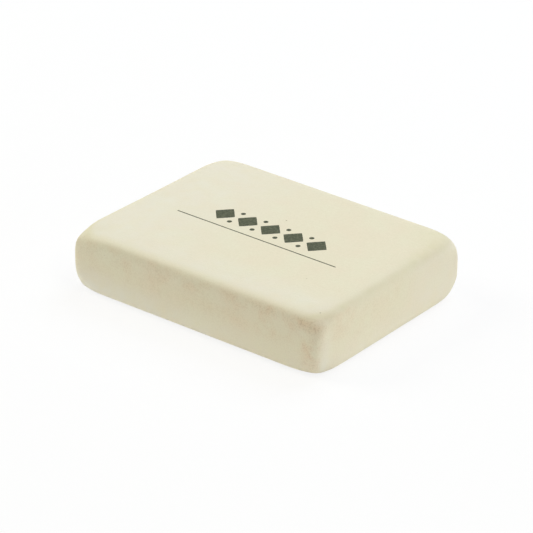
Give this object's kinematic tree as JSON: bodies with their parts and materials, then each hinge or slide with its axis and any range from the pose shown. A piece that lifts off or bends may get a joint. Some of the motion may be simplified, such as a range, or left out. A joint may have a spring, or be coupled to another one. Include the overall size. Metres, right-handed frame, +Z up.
{
  "type": "rubber eraser",
  "caption": "Flat block of cream natural rubber with soft tumbled edges and a thin printed ornament on its top face, for rubbing out pencil.",
  "frame": {"origin": "middle of the underside, on the surface that the block lies on", "axes": "+X along the block's length, +Y across its width towards the back, +Z up through its thickness"},
  "size_m": [0.04, 0.03, 0.0083],
  "materials": {
    "natural_rubber": "matt, dusted, very finely grained",
    "green_ink": "matt pad-printed ink"
  },
  "bodies": {
    "root": {"rubber_block": "natural_rubber", "printed_mark": "green_ink"}
  },
  "joints": []
}
